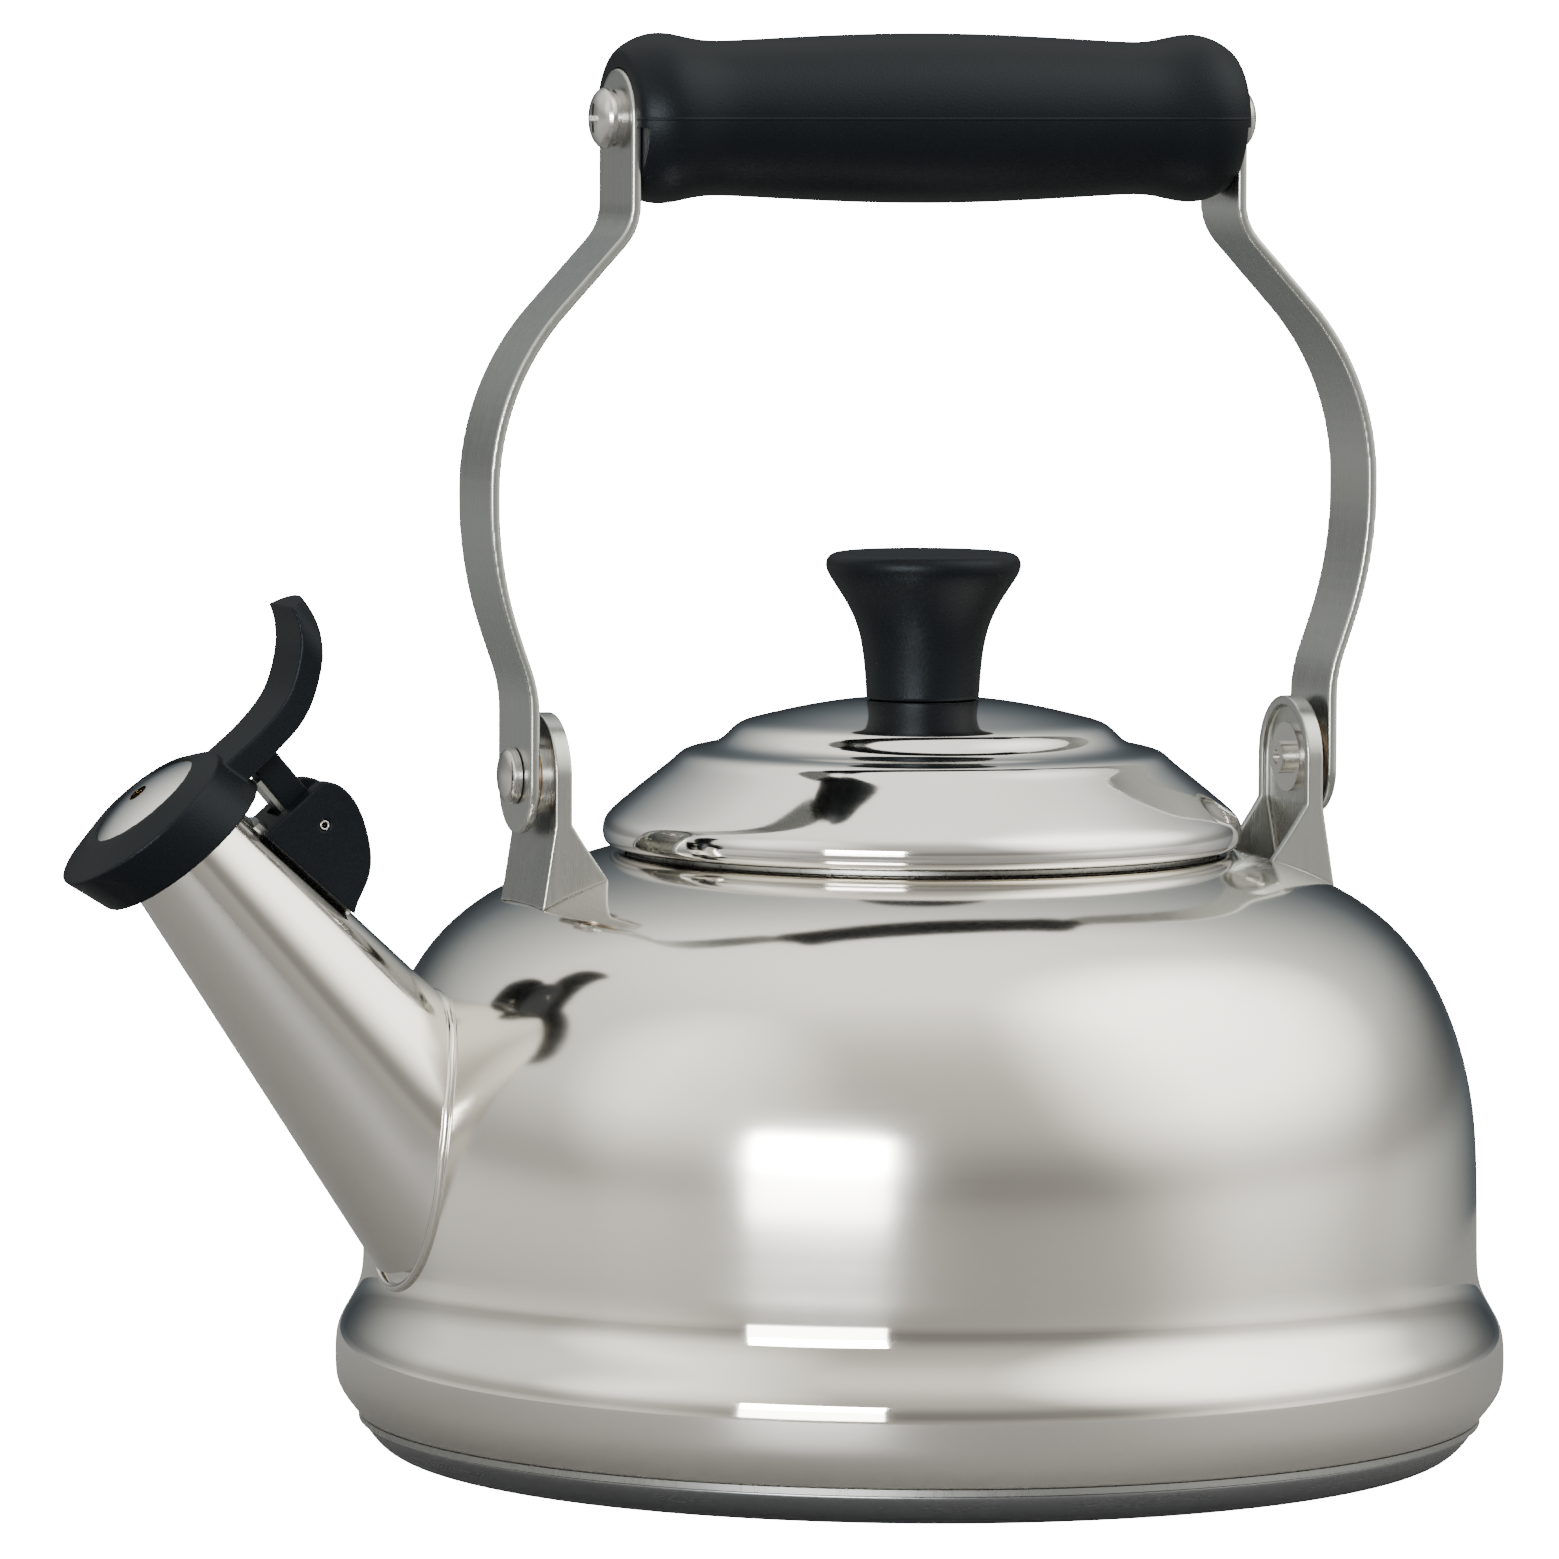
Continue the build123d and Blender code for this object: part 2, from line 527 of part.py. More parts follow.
def hinge_arm():
    """Bar from the lever's root to the pin, forked around the spring."""
    low = PIN_OUT - ARM_T / 2
    high = PIN_OUT + ARM_T / 2
    bar = make_face(Polyline((low, 0.5), (high, 0.5), (high, PIN_ALONG), (low, PIN_ALONG), (low, 0.5)))
    eye = Pos(PIN_OUT, PIN_ALONG) * Circle(ARM_T / 2)
    arm = local_slab(bar + eye, ARM_W)
    fork = SPOUT * Pos(PIN_OUT, 0, PIN_ALONG - 1) * Box(2 * ARM_T, FORK_W, 2 * SPRING_R + 2 + 2 * GAP)
    return arm - fork - pin_hole(ARM_W + 2)


def arm_strip():
    """Steel strip snapped under the arm."""
    low = PIN_OUT - ARM_T / 2 - STRIP_T
    return SPOUT * Pos(low, 0, WHISTLE_BACK - GAP) * Box(STRIP_T, ARM_W - 1.0, STRIP_LENGTH,
                                                         align=(Align.MIN, Align.CENTER, Align.MAX))


def torsion_spring():
    """Coil around the pin in the arm's fork, with a leg that bears on the slot's floor."""
    pin_place = SPOUT * Pos(PIN_OUT, 0, PIN_ALONG) * Rot(90, 0, 0)
    coil = pin_place * (Cylinder(SPRING_R, FORK_W - 2 * GAP) - Cylinder(PIN_R + 0.2, FORK_W))
    leg_out = PIN_OUT - SPRING_R + 2 * SPRING_WIRE_R
    drop = leg_out - SLOT_FLOOR - SPRING_WIRE_R
    length = sqrt(drop * drop + SPRING_LEG * SPRING_LEG)
    leg = Rot(0, degrees(atan2(drop, SPRING_LEG)), 0) * rod(SPRING_WIRE_R, -length, -0.4)
    leg = SPOUT * Pos(leg_out, 0, PIN_ALONG) * leg
    return coil + (leg - pin_place * Cylinder(SPRING_R - 0.4, FORK_W))


def whistle_disc(rim_r, z, bulge):
    """Thin pressed disc with the whistle's hole, slightly domed."""
    top = ThreePointArc((rim_r, z + DISC_SHEET), (rim_r * 0.6, z + DISC_SHEET + bulge * 0.68),
                        (DISC_HOLE_R, z + DISC_SHEET + bulge))
    hole = Line(top @ 1, (DISC_HOLE_R, z + bulge))
    under = ThreePointArc(hole @ 1, (rim_r * 0.6, z + bulge * 0.68), (rim_r, z))
    rim = Line((rim_r, z), (rim_r, z + DISC_SHEET))
    return SPOUT * turned(top, hole, under, rim)


def whistle_spacer():
    r = DISC_R - DISC_LEDGE
    return SPOUT * tube(r, r - 0.8, 1.0 + DISC_SHEET, WHISTLE_FRONT - 1.0)


def cheek_outline():
    """Half-moon side of the hinge block: square front, round back, foot along the spout."""
    front = Line((PIN_OUT - 11.4, -10.0), (PIN_OUT + 4.0, -10.0))
    crown = Spline(front @ 1, (PIN_OUT + 6.3, -13.8), (PIN_OUT + 4.4, -21.4), (PIN_OUT - 0.2, -26.8),
                   (PIN_OUT - 5.8, -30.0), (PIN_OUT - 7.8, -30.0), tangents=[(1, -0.5), (-1, 0.6)])
    foot = Line(crown @ 1, front @ 0)
    return make_face([front, crown, foot])


def hinge_rivet_hole():
    return SPOUT * Pos(0, 0, RIVET_ALONG) * on_side(rod(HINGE_RIVET_R + FIT, 0, 40))


def hinge_block():
    """Two cheeks joined by a floor that stands on the saddle."""
    block = local_slab(cheek_outline(), CHEEK_W)
    slot = SPOUT * Pos(SLOT_FLOOR, 0, 0) * Box(30, SLOT_W, 80, align=(Align.MIN, Align.CENTER, Align.CENTER))
    block = block - slot - spout_cone(-SADDLE_T, SPOUT_REACH, 0)
    block = block - pin_hole(CHEEK_W + 2) - hinge_rivet_hole()
    return max(block.solids(), key=lambda piece: piece.volume)


def hinge_saddle():
    """Thin steel saddle welded to the spout, which carries the block."""
    band = spout_cone(-SADDLE_T, -29.4, -8.4) - spout_cone(0, -34.0, -6.0)
    keep = SPOUT * Pos(SPOUT_TIP_R, 0, -20) * Box(2 * SPOUT_TIP_R, SADDLE_W, 30)
    saddle = (band & keep) - hinge_rivet_hole()
    return max(saddle.solids(), key=lambda piece: piece.volume)


def hinge_rivet():
    head = rod(HINGE_RIVET_HEAD_R, SLOT_FLOOR, SLOT_FLOOR + 0.8)
    rivet = SPOUT * Pos(0, 0, RIVET_ALONG) * on_side(head + rod(HINGE_RIVET_R, 8, SLOT_FLOOR))
    return rivet - spout_cone(0, SPOUT_REACH, 0)


def hinge_pin():
    return SPOUT * Pos(PIN_OUT, 0, PIN_ALONG) * Rot(90, 0, 0) * Cylinder(PIN_R, CHEEK_W - 0.3)


def main():
    os.makedirs("parts", exist_ok=True)
    save(body_shell(), "body_shell")
    save(base_floor(), "base_floor")
    save(base_core(), "base_core")
    save(base_cap(), "base_cap")
    save(spout_tube(), "spout_tube")
    save(lid_shell(), "lid_shell")
    save(lid_skirt(), "lid_skirt")
    save(knob(), "knob")
    save(knob_insert(), "knob_insert")
    save(knob_washer(), "knob_washer")
    save(knob_screw(), "knob_screw")
    ear = ear_right()
    save(ear, "ear_right")
    save(mirror(ear, Plane.YZ), "ear_left")
    save(both_sides(pivot_rivet()), "pivot_rivets")
    save(both_sides(pivot_ring(SPACER_R, EAR_X, EAR_X + SPACER_T)), "pivot_spacers")
    save(both_sides(pivot_ring(FRICTION_R, EAR_X + SPACER_T, STRAP_IN - PIVOT_PLAY)), "pivot_friction_washers")
    clamp = pivot_ring(CLAMP_R, STRAP_OUT + PIVOT_PLAY, STRAP_OUT + PIVOT_PLAY + CLAMP_T)
    save(both_sides(clamp), "pivot_outer_washers")
    inner_washer = pivot_ring(INNER_WASHER_R, EAR_X - EAR_SHEET - WASHER_T, EAR_X - EAR_SHEET)
    save(both_sides(inner_washer), "pivot_inner_washers")
    strap = strap_right()
    save(strap, "strap_right")
    save(mirror(strap, Plane.YZ), "strap_left")
    save(handle_grip(), "handle_grip")
    save(grip_core(), "grip_core_rod")
    save(both_sides(grip_flat_washer()), "grip_flat_washers")
    save(both_sides(on_side(spring_washer(), GRIP_OUT + FLAT_T, GRIP_Z)), "grip_spring_washers")
    save(both_sides(grip_screw()), "grip_screws")
    save(whistle_cap(), "whistle_cap")
    save(whistle_disc(DISC_R, WHISTLE_FRONT - 1.0, DISC_BULGE), "whistle_front_disc")
    save(whistle_disc(DISC_R - DISC_LEDGE, 1.0, -0.5), "whistle_back_disc")
    save(whistle_spacer(), "whistle_spacer")
    save(arm_strip(), "arm_strip")
    save(torsion_spring(), "torsion_spring")
    save(hinge_block(), "hinge_block")
    save(hinge_rivet(), "hinge_rivet")
    save(hinge_saddle(), "hinge_saddle")
    save(hinge_pin(), "hinge_pin")


main()
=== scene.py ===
from math import cos, pi, radians, sin

import bpy
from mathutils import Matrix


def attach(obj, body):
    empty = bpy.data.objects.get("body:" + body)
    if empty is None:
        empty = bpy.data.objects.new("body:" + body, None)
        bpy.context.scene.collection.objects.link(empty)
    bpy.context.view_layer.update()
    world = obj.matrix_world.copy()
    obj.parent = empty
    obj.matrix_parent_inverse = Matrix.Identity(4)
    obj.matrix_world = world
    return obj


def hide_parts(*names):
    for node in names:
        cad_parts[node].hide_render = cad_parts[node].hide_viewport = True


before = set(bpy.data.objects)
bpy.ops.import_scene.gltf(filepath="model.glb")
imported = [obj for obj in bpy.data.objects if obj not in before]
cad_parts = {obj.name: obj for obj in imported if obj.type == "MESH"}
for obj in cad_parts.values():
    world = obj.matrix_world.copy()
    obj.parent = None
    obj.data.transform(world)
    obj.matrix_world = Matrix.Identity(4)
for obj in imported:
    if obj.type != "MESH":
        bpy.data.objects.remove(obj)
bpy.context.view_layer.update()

# ---- the set ---------------------------------------------------------------------------------
# A floor in a plain white studio, both shown white to the eye and dimmer in the steel. Soft light
# comes from overhead, and a bright window with a dimmer sill stands to the front. In metres.
bpy.ops.object.select_all(action="DESELECT")

HEADING = radians(21.152)
STAND = radians(22)
AWAY = 1.6
EYE_HEIGHT = 0.233
camera = bpy.data.objects.new("camera", bpy.data.cameras.new("camera"))
bpy.context.collection.objects.link(camera)
camera.location = (-AWAY * sin(STAND), -AWAY * cos(STAND), EYE_HEIGHT)
camera.rotation_euler = (radians(85.562), radians(-0.25), -HEADING)
camera.data.lens = 228.6
camera.data.sensor_width = 36
bpy.context.scene.camera = camera


class Number:
    """A number that changes over a surface. Arithmetic on it adds Math nodes."""

    def __init__(self, finish, socket):
        self.finish = finish
        self.socket = socket

    def sum(self, operation, first, second):
        node = self.finish.add("ShaderNodeMath", {"operation": operation}, {0: first, 1: second})
        return Number(self.finish, node.outputs[0])

    def __add__(self, other):
        return self.sum("ADD", self, other)

    def __sub__(self, other):
        return self.sum("SUBTRACT", self, other)

    def __mul__(self, other):
        return self.sum("MULTIPLY", self, other)

    def __pow__(self, other):
        return self.sum("POWER", self, other)

    __radd__ = __add__
    __rmul__ = __mul__


class Finish:
    """A node tree, with one way of adding a node: its type, its settings and its sockets."""

    def __init__(self, owner):
        owner.use_nodes = True
        self.tree = owner.node_tree

    def add(self, kind, settings=None, sockets=None):
        node = self.tree.nodes.new(kind)
        for key, value in (settings or {}).items():
            if key == "stops":
                ramp = node.color_ramp
                for place, colour in value[1:-1]:
                    ramp.elements.new(place).color = colour
                for element, (place, colour) in zip(ramp.elements, value):
                    element.position = place
                    element.color = colour
            else:
                setattr(node, key, value)
        for key, value in (sockets or {}).items():
            self.feed(node.inputs[key], value)
        return node

    def feed(self, socket, value):
        if isinstance(value, Number):
            value = value.socket
        if isinstance(value, bpy.types.NodeSocket):
            self.tree.links.new(value, socket)
        else:
            socket.default_value = value

    def number(self, kind, settings=None, sockets=None, output=0):
        return Number(self, self.add(kind, settings, sockets).outputs[output])


sky = bpy.context.scene.world or bpy.data.worlds.new("studio")
bpy.context.scene.world = sky
air = Finish(sky)
air.tree.nodes.clear()
way = air.add("ShaderNodeTexCoord")
split = air.add("ShaderNodeSeparateXYZ", None, {0: way.outputs["Generated"]})
behind = Number(air, split.outputs["X"]) * sin(HEADING) + Number(air, split.outputs["Y"]) * cos(HEADING)
wall = air.add("ShaderNodeValToRGB", {"stops": [
    (0.0, (0.50, 0.49, 0.47, 1)), (0.10, (0.62, 0.61, 0.58, 1)), (0.30, (1.0, 0.99, 0.96, 1)),
    (0.72, (0.95, 0.95, 0.93, 1)), (0.89, (0.40, 0.42, 0.43, 1)), (0.97, (0.12, 0.14, 0.16, 1)),
    (1.0, (0.07, 0.085, 0.10, 1))]}, {0: behind * 0.5 + 0.5})
rise = air.add("ShaderNodeValToRGB", {"stops": [
    (0.0, (0.36, 0.36, 0.36, 1)), (0.36, (0.56, 0.55, 0.53, 1)), (0.47, (0.72, 0.71, 0.68, 1)),
    (0.505, (0.40, 0.39, 0.38, 1)), (0.545, (0.42, 0.415, 0.40, 1)), (0.66, (0.88, 0.87, 0.84, 1)),
    (0.84, (1.05, 1.04, 1.0, 1)), (1.0, (1.5, 1.48, 1.42, 1))]},
    {0: Number(air, split.outputs["Z"]) * 0.5 + 0.5})
glow = air.add("ShaderNodeMix", {"data_type": "RGBA", "blend_type": "MULTIPLY"},
               {0: 1.0, 6: wall.outputs[0], 7: rise.outputs[0]})
seen = air.add("ShaderNodeLightPath")


def glowing(place, spread, strength):
    """A soft patch of light in the studio, towards a place."""
    length = sum(c * c for c in place) ** 0.5
    dot = air.add("ShaderNodeVectorMath", {"operation": "DOT_PRODUCT"},
                  {0: way.outputs["Generated"], 1: [c / length for c in place]})
    patch = air.number("ShaderNodeMapRange", {"interpolation_type": "SMOOTHSTEP"},
                       {0: dot.outputs["Value"], 1: cos(radians(spread)), 2: 1.0, 3: 0.0, 4: 1.0})
    return patch * strength


soft_light = 1.4 + glowing((1.2, -0.9, 0.9), 48, 3.0) + glowing((-1.6, -0.5, 0.7), 34, 1.2)
shade = air.add("ShaderNodeBackground", None, {0: glow.outputs[2], 1: soft_light})
white = air.add("ShaderNodeBackground", None, {0: (1, 1, 1, 1), 1: 24.0})
both = air.add("ShaderNodeMixShader", None,
               {0: seen.outputs["Is Camera Ray"], 1: shade.outputs[0], 2: white.outputs[0]})
air.add("ShaderNodeOutputWorld", None, {0: both.outputs[0]})

bpy.ops.mesh.primitive_circle_add(vertices=128, radius=0.36, fill_type="NGON")
floor = bpy.context.object
floor.name = "floor"
pale = bpy.data.materials.new("pale_floor")
ground = Finish(pale)
cover = ground.tree.nodes["Principled BSDF"]
ground.feed(cover.inputs["Base Color"], (0.15, 0.15, 0.152, 1))
ground.feed(cover.inputs["Roughness"], 0.6)
lift = ground.add("ShaderNodeEmission", None, {"Color": (1, 1, 1, 1), "Strength": 20.0})
lit = ground.add("ShaderNodeAddShader", None, {0: cover.outputs[0], 1: lift.outputs[0]})
eye = ground.add("ShaderNodeLightPath")
top = ground.add("ShaderNodeMixShader", None,
                 {0: eye.outputs["Is Camera Ray"], 1: cover.outputs[0], 2: lit.outputs[0]})
ground.feed(ground.tree.nodes["Material Output"].inputs["Surface"], top.outputs[0])
floor.data.materials.append(pale)
floor.select_set(False)


def softbox(name, place, aim, wide, tall, power):
    lamp = bpy.data.lights.new(name, "AREA")
    lamp.shape = "RECTANGLE"
    lamp.size = wide
    lamp.size_y = tall
    lamp.energy = power
    box = bpy.data.objects.new(name, lamp)
    bpy.context.collection.objects.link(box)
    box.location = place
    line = box.location.copy()
    for axis in range(3):
        line[axis] = aim[axis] - place[axis]
    box.rotation_euler = line.to_track_quat("-Z", "Y").to_euler()


softbox("overhead", (0.3, -0.5, 1.9), (0, 0, 0.1), 1.5, 1.0, 9)
softbox("front_window", (-1.36, -1.50, 0.43), (0, 0, 0.1), 1.0, 0.34, 46)
softbox("window_sill", (-1.36, -1.50, 0.10), (0, 0, 0.1), 1.0, 0.30, 13)
bpy.data.objects["overhead"].visible_glossy = False


# ---- body ------------------------------------------------------------------------------------
# One steel sheet, drawn and spun: a swelling band low down, an upright wall, a round shoulder and
# a neck turned down at the mouth. Polished all over, a little hazier low down.
MM = 0.001


def steel(name, colour, low, high, lines, grain, haze_top=0.0):
    made = bpy.data.materials.new(name)
    coat = Finish(made)
    skin = coat.tree.nodes["Principled BSDF"]
    place = coat.add("ShaderNodeTexCoord").outputs["Object"]
    stretch = coat.add("ShaderNodeMapping", None, {0: place, 3: lines})
    streaks = coat.number("ShaderNodeTexNoise", None, {0: stretch.outputs[0], 2: 1.0, 3: 4.0, 4: 0.6})
    marks = coat.number("ShaderNodeTexNoise", None, {0: place, 2: 38.0, 3: 4.0, 4: 0.62})
    fine = coat.number("ShaderNodeTexNoise", None, {0: place, 2: 420.0, 3: 3.0, 4: 0.55})
    rough = low + streaks * (high - low) + (marks ** 2.0) * 0.05
    if haze_top:
        height = Number(coat, coat.add("ShaderNodeSeparateXYZ", None, {0: place}).outputs["Z"])
        fade = coat.number("ShaderNodeMapRange", {"interpolation_type": "SMOOTHSTEP"},
                           {0: height, 1: 0.036, 2: haze_top, 3: 1.0, 4: 0.4})
        start = coat.number("ShaderNodeMapRange", {"interpolation_type": "SMOOTHSTEP"},
                            {0: height, 1: 0.030, 2: 0.036, 3: 0.0, 4: 1.0})
        foot = coat.number("ShaderNodeMapRange", {"interpolation_type": "SMOOTHSTEP"},
                           {0: height, 1: 0.009, 2: 0.0135, 3: 1.0, 4: 0.0})
        rough = rough + fade * start * 0.11 + foot * 0.16
    tone = coat.add("ShaderNodeMix", {"data_type": "RGBA"},
                    {0: marks, 6: [c * 0.94 for c in colour] + [1], 7: list(colour) + [1]})
    coat.feed(skin.inputs["Base Color"], tone.outputs[2])
    coat.feed(skin.inputs["Metallic"], 1.0)
    coat.feed(skin.inputs["Roughness"], rough)
    bump = coat.add("ShaderNodeBump", None, {"Strength": grain, "Distance": 0.00004,
                                             "Height": streaks * 0.7 + fine * 0.3})
    coat.feed(skin.inputs["Normal"], bump.outputs[0])
    return made


def turn(name, outline, steps=96, levels=2, loop=True):
    """Draws an outline of (radius, height) in millimetres by extruding a point, and spins it."""
    bpy.ops.object.select_all(action="DESELECT")
    bpy.ops.mesh.primitive_plane_add(size=0.001)
    piece = bpy.context.object
    piece.name = name
    bpy.ops.object.mode_set(mode="EDIT")
    bpy.ops.mesh.merge(type="CENTER")
    start = outline[0]
    bpy.ops.transform.translate(value=(start[0] * MM, 0, start[1] * MM))
    for here, there in zip(outline, outline[1:]):
        step = ((there[0] - here[0]) * MM, 0, (there[1] - here[1]) * MM)
        bpy.ops.mesh.extrude_region_move(TRANSFORM_OT_translate={"value": step})
    bpy.ops.mesh.select_all(action="SELECT")
    bpy.ops.mesh.spin(steps=steps, angle=2 * pi, center=(0, 0, 0), axis=(0, 0, 1))
    bpy.ops.mesh.select_all(action="SELECT")
    bpy.ops.mesh.remove_doubles(threshold=1e-6)
    bpy.ops.mesh.normals_make_consistent(inside=False)
    bpy.ops.object.mode_set(mode="OBJECT")
    smooth = piece.modifiers.new("smooth", "SUBSURF")
    smooth.levels = levels
    smooth.render_levels = levels
    bpy.ops.object.modifier_apply(modifier="smooth")
    bpy.ops.object.shade_smooth()
    return piece


def pick(piece):
    """Selects one piece alone, for the next operator."""
    bpy.ops.object.select_all(action="DESELECT")
    piece.select_set(True)
    bpy.context.view_layer.objects.active = piece


BODY_OUTLINE = [
    (91.2, 6.4), (91.6, 7.0), (93.3, 9.0), (94.7, 11.2), (95.05, 13.5), (95.05, 17.5), (94.75, 20.4),
    (93.2, 23.1), (91.5, 26.0), (90.7, 28.8), (90.5, 32.0), (90.45, 42.0), (90.2, 52.0), (89.2, 60.0),
    (87.1, 68.0), (83.8, 76.0), (78.5, 84.0), (70.6, 90.2), (62.0, 94.0), (55.2, 96.2), (51.4, 97.3),
    (49.8, 97.75), (48.9, 97.5), (48.4, 96.6), (48.4, 94.0), (48.4, 90.4), (48.5, 90.0), (49.3, 90.0),
    (49.4, 90.4), (49.4, 94.0), (49.9, 96.4), (51.6, 96.25), (55.0, 95.2), (61.6, 93.05), (70.0, 89.3),
    (77.7, 83.3), (82.9, 75.5), (86.15, 67.7), (88.2, 59.8), (89.2, 51.9), (89.45, 42.0), (89.5, 32.0),
    (89.75, 28.6), (90.6, 25.5), (92.3, 22.6), (93.75, 20.2), (94.05, 17.5), (94.05, 13.5), (93.75, 11.6),
    (92.5, 9.6), (90.4, 6.9), (90.4, 6.4), (91.2, 6.4)]
polished = steel("polished_steel", (0.78, 0.757, 0.70), 0.02, 0.05, (3, 3, 900), 0.04, 0.1)
body = turn("drawn_body", BODY_OUTLINE)
body.data.materials.append(polished)

TILT = radians(40.6)
TIP = (-128.2, 104.4)
TIP_R = 10.0
TAPER = 0.12278


def along_spout(out, side, along):
    """A place in metres, from millimetres out from the spout's axis, sideways, and along it."""
    return ((TIP[0] + out * cos(TILT) - along * sin(TILT)) * MM, side * MM,
            (TIP[1] + out * sin(TILT) + along * cos(TILT)) * MM)


HOLE_LOW = -80.0
HOLE_HIGH = -30.0
WELD_IN = 1.7
bpy.ops.object.select_all(action="DESELECT")
bpy.ops.mesh.primitive_cone_add(
    vertices=160, radius1=(TIP_R - WELD_IN - HOLE_LOW * TAPER) * MM,
    radius2=(TIP_R - WELD_IN - HOLE_HIGH * TAPER) * MM, depth=(HOLE_HIGH - HOLE_LOW) * MM,
    location=along_spout(0, 0, (HOLE_LOW + HOLE_HIGH) / 2), rotation=(0, -TILT, 0))
bore = bpy.context.object
pick(body)
bpy.ops.object.duplicate()
uncut = bpy.context.object
pick(body)
cut = body.modifiers.new("hole", "BOOLEAN")
cut.operation = "DIFFERENCE"
cut.solver = "EXACT"
cut.object = bore
bpy.ops.object.modifier_apply(modifier="hole")
sheen = body.modifiers.new("sheen", "DATA_TRANSFER")
sheen.object = uncut
sheen.use_loop_data = True
sheen.data_types_loops = {"CUSTOM_NORMAL"}
sheen.loop_mapping = "POLYINTERP_NEAREST"
bpy.ops.object.modifier_apply(modifier="sheen")
bpy.data.objects.remove(uncut)
bpy.data.objects.remove(bore)
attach(body, "kettle")
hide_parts("body_shell")


# ---- base ------------------------------------------------------------------------------------
# A magnetic steel cap pressed over an aluminium core, its rim rolled up to the body's heel, and the
# floor disc welded inside the heel.
def wear(finish, *nodes):
    """Gives the finish to parts of the kettle that keep their shape."""
    for node in nodes:
        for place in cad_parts[node].material_slots:
            place.material = finish


satin = steel("satin_steel", (0.40, 0.41, 0.395), 0.2, 0.34, (900, 900, 14), 0.25)
base_steel = steel("base_steel", (0.30, 0.31, 0.32), 0.2, 0.3, (3, 3, 700), 0.12)
base = turn("base_cap_pressed", [
    (0, 0), (30, 0), (70, 0), (82.8, 0), (85.0, 0.15), (87.0, 0.95), (88.7, 2.4), (90.0, 4.1), (90.5, 5.0),
    (90.3, 5.35), (89.6, 5.4), (86.4, 5.4), (86.0, 5.35), (86.0, 5.0), (86.0, 1.2), (85.8, 0.75), (82.0, 0.7),
    (40, 0.7), (0, 0.7)], levels=2)
base.data.materials.append(base_steel)
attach(base, "kettle")
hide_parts("base_cap")


wear(satin, "base_floor")
wear(steel("core_aluminium", (0.72, 0.73, 0.74), 0.3, 0.45, (200, 200, 200), 0.2), "base_core")


# ---- spout -----------------------------------------------------------------------------------
# A rolled steel cone, cut to the body's side and welded on from outside. The weld is dressed down
# to a narrow bead.
wear(polished, "spout_tube")


def body_radius(height):
    """How far the body's side lies from its axis at a height, in millimetres."""
    side = BODY_OUTLINE[:20]
    for low, high in zip(side, side[1:]):
        if low[1] <= height <= high[1]:
            share = (height - low[1]) / (high[1] - low[1])
            return low[0] + share * (high[0] - low[0])
    return 0.0


BEAD_R = 0.75
BEAD_STEPS = 96
HALVINGS = 40
bead_path = []
for turn_step in range(BEAD_STEPS):
    angle = 2 * pi * turn_step / BEAD_STEPS
    near, far = -20.0, -90.0
    for _ in range(HALVINGS):
        middle = (near + far) / 2
        cone_r = TIP_R - middle * TAPER
        spot = along_spout(cone_r * cos(angle), cone_r * sin(angle), middle)
        outside = (spot[0] ** 2 + spot[1] ** 2) ** 0.5 / MM > body_radius(spot[2] / MM)
        if outside:
            near = middle
        else:
            far = middle
    bead_path.append(spot)
line = bpy.data.curves.new("weld_line", "CURVE")
line.dimensions = "3D"
line.bevel_depth = BEAD_R * MM
line.bevel_resolution = 3
spline = line.splines.new("POLY")
spline.points.add(len(bead_path) - 1)
for point, spot in zip(spline.points, bead_path):
    point.co = (*spot, 1)
spline.use_cyclic_u = True
weld_curve = bpy.data.objects.new("weld_line", line)
bpy.context.collection.objects.link(weld_curve)
pick(weld_curve)
bpy.ops.object.convert(target="MESH")
weld = bpy.context.object
weld.name = "spout_weld"
bpy.ops.object.shade_smooth()
weld.data.materials.append(polished)
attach(weld, "kettle")


